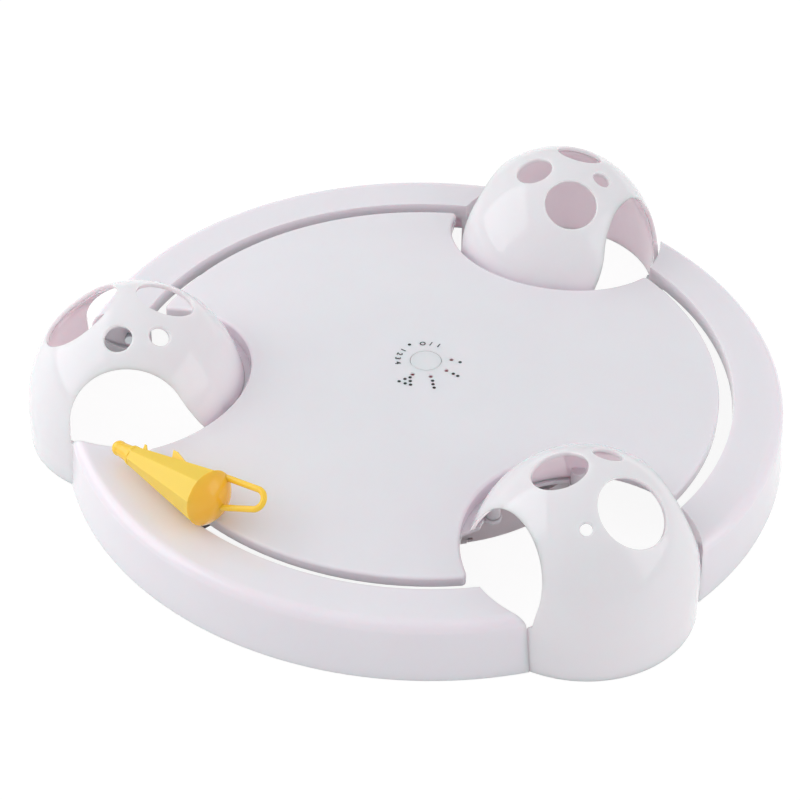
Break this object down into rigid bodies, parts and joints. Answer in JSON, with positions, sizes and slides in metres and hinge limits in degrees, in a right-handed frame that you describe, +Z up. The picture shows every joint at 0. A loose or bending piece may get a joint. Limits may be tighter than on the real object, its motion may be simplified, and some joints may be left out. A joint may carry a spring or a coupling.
{
  "type": "motorised chase toy for cats",
  "caption": "Round motorised cat toy: a lure on a geared arm circles in the slot between a crowned deck and a ring, through pierced domes.",
  "frame": {"origin": "centre of the middle rubber foot, on the floor under the middle of the deck", "axes": "+Z up; -X towards the left dome, -Y towards the front; the other two domes stand at -60 and 60 degrees about +Z"},
  "size_m": [0.421, 0.4, 0.089],
  "materials": {
    "white_shell": "glossy white injection-moulded ABS",
    "white_inner": "plain white moulded plastic inside",
    "dark_plastic": "dark brown moulded arm",
    "gear_plastic": "natural acetal gears",
    "yellow_shell": "glossy yellow plastic",
    "orange_cap": "glossy orange-yellow plastic",
    "rubber": "soft grey rubber",
    "steel": "zinc-plated steel",
    "spring_steel": "nickel-plated spring steel",
    "motor_steel": "plated steel can",
    "brass": "machined brass",
    "black_plastic": "black moulded plastic",
    "board": "green solder mask on fibreglass",
    "lamp_red": "red-tinted lamp lens",
    "cell_wrap": "plain printed sleeve on a steel can"
  },
  "bodies": {
    "base": {"deck": "white_shell", "dome_front": "white_shell", "dome_back": "white_shell", "dome_left": "white_shell", "ring_segment_front": "white_shell", "ring_segment_right": "white_shell", "ring_segment_back": "white_shell", "base_pan": "white_inner", "chassis": "white_inner", "drive_ring_retainer": "gear_plastic", "gear_axle": "steel", "motor_bracket": "steel", "motor_can": "motor_steel", "motor_end_cap": "black_plastic", "control_board": "board", "tact_switch": "black_plastic", "indicator_leds": "lamp_red", "battery_cells": "cell_wrap", "contact_springs": "spring_steel", "contact_plates": "spring_steel", "rubber_feet": "rubber", "pan_screws": "steel", "deck_screws": "steel", "bracket_screws": "steel", "board_screws": "steel", "dome_screws": "steel", "ring_screws": "steel"},
    "rotor": {"drive_ring": "gear_plastic", "lure_arm": "dark_plastic", "lure_body": "yellow_shell", "lure_cap": "orange_cap", "lure_loop": "yellow_shell"},
    "gear": {"reduction_gear": "gear_plastic"},
    "motor_rotor": {"motor_shaft": "steel", "motor_pinion": "brass"},
    "button": {"power_button": "white_shell", "switch_plunger": "black_plastic"},
    "door": {"battery_door": "white_inner"}
  },
  "joints": [
    {"name": "rotor_spin", "type": "hinge", "parent": "base", "child": "rotor", "pos_m": [0, 0, 0.0283], "axis": [0, 0, 1], "continuous": true},
    {"name": "gear_spin", "type": "hinge", "parent": "base", "child": "gear", "pos_m": [0, 0.036, 0.0145], "axis": [0, 0, 1], "continuous": true},
    {"name": "motor_spin", "type": "hinge", "parent": "base", "child": "motor_rotor", "pos_m": [0, 0.018, 0.017], "axis": [0, 0, 1], "continuous": true},
    {"name": "button_press", "type": "slide", "parent": "base", "child": "button", "axis": [0, 0, -1], "range_m": [0, 0.0006], "stiffness_N_per_m": 1500},
    {"name": "door_slide", "type": "slide", "parent": "base", "child": "door", "axis": [0, -1, 0], "range_m": [0, 0.062]}
  ],
  "couplings": [
    {"joint": "gear_spin", "follows": "rotor_spin", "ratio": 7},
    {"joint": "motor_spin", "follows": "rotor_spin", "ratio": -35}
  ]
}
